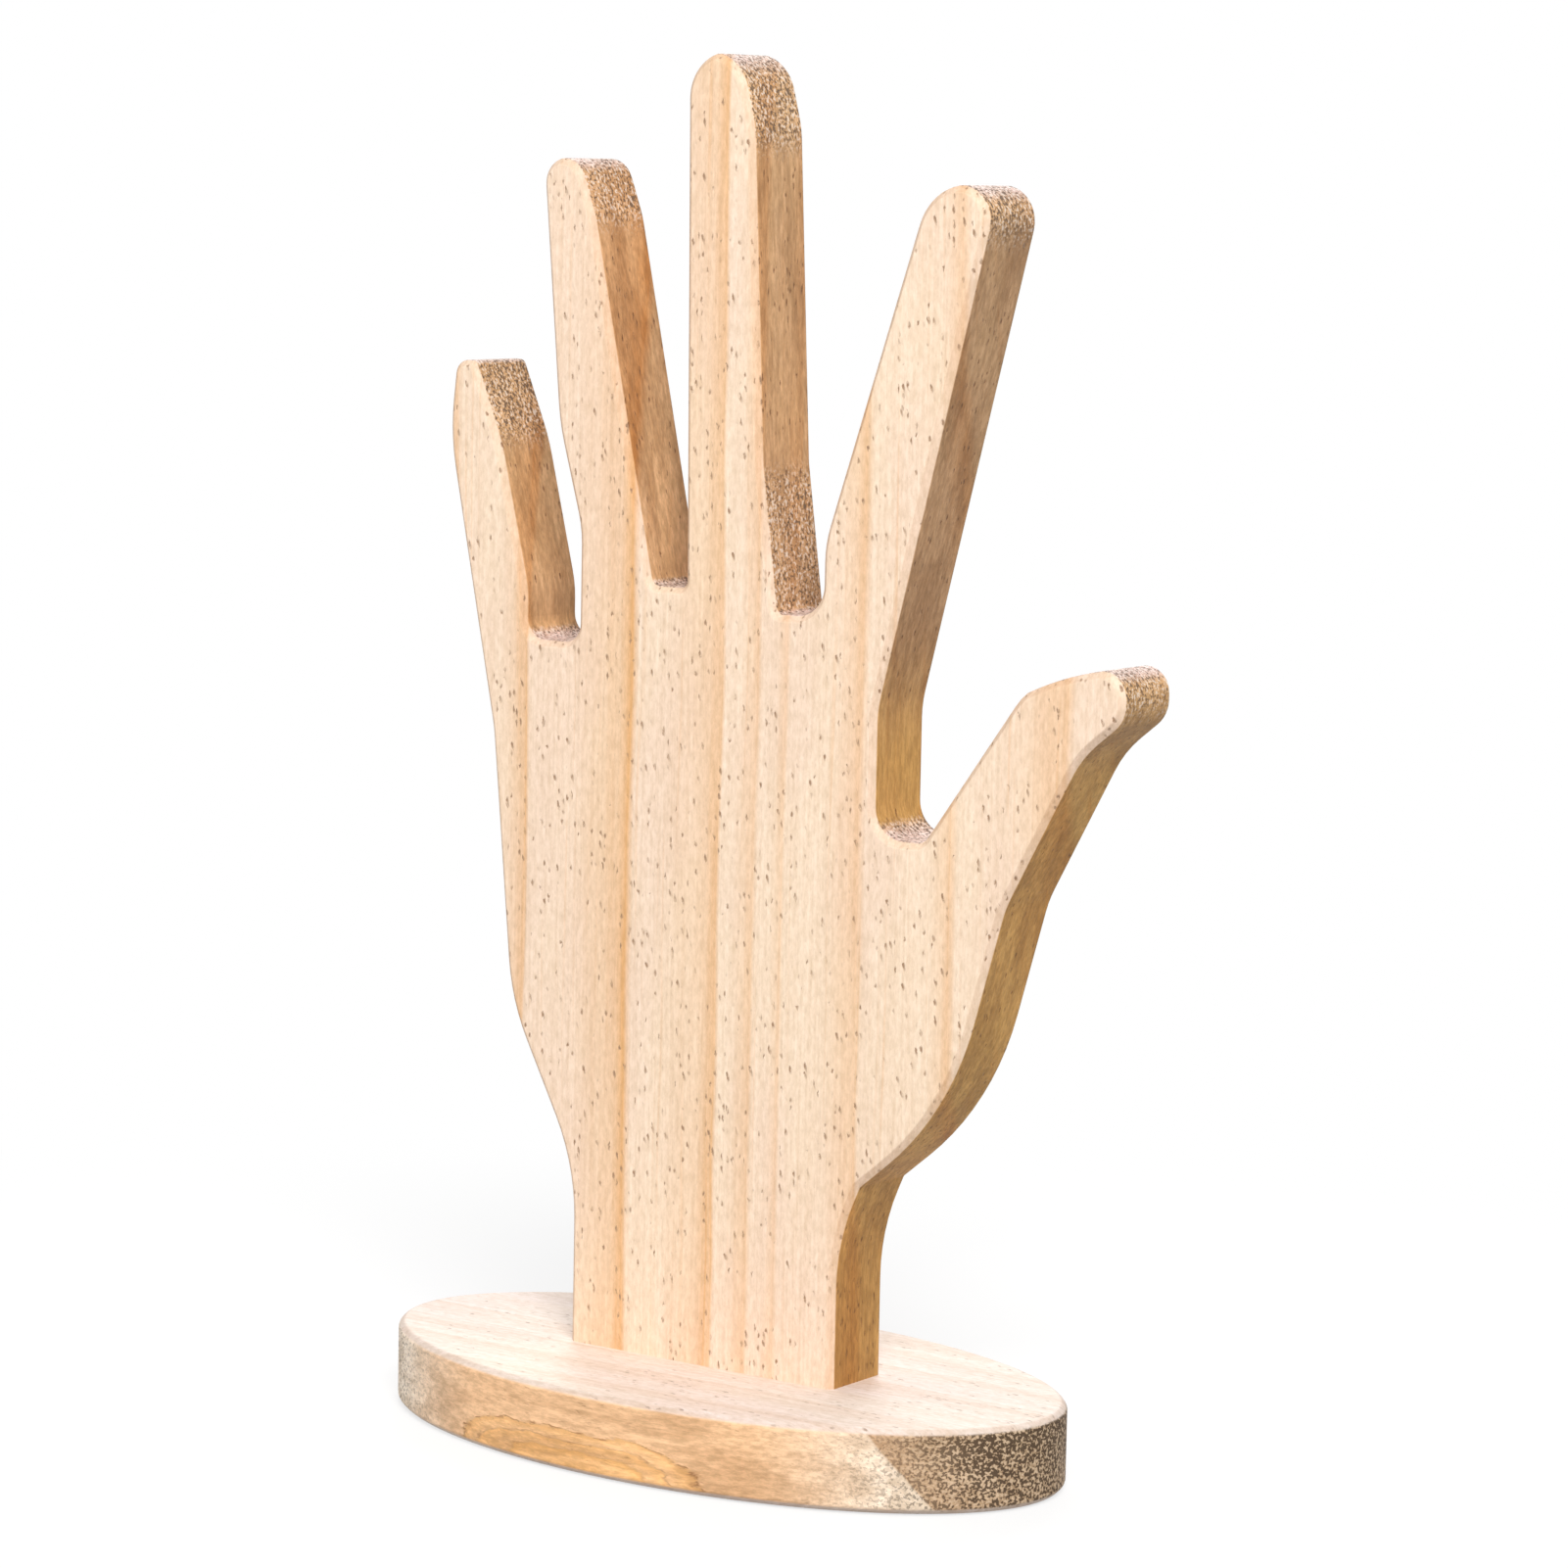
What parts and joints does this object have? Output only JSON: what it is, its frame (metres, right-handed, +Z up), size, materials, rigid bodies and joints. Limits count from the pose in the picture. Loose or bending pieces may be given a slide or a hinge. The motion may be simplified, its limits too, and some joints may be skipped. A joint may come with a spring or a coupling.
{
  "type": "wooden hand display stand",
  "caption": "Flat life-size hand sawn from a pine board, standing on an oval pine base; it holds rings, bracelets or gloves on its fingers and wrist.",
  "frame": {"origin": "centre of the oval base's underside, on the table", "axes": "+Z up through the wrist, +X towards the thumb, -Y out of the hand's front face"},
  "size_m": [0.156, 0.075, 0.2496],
  "materials": {
    "hand_wood": "sanded bare pine, face grain running up the fingers",
    "base_wood": "sanded bare pine, grain along the oval's length",
    "screw_steel": "zinc-plated steel"
  },
  "bodies": {
    "root": {"hand_board": "hand_wood", "oval_base": "base_wood", "base_screws": "screw_steel"}
  },
  "joints": []
}
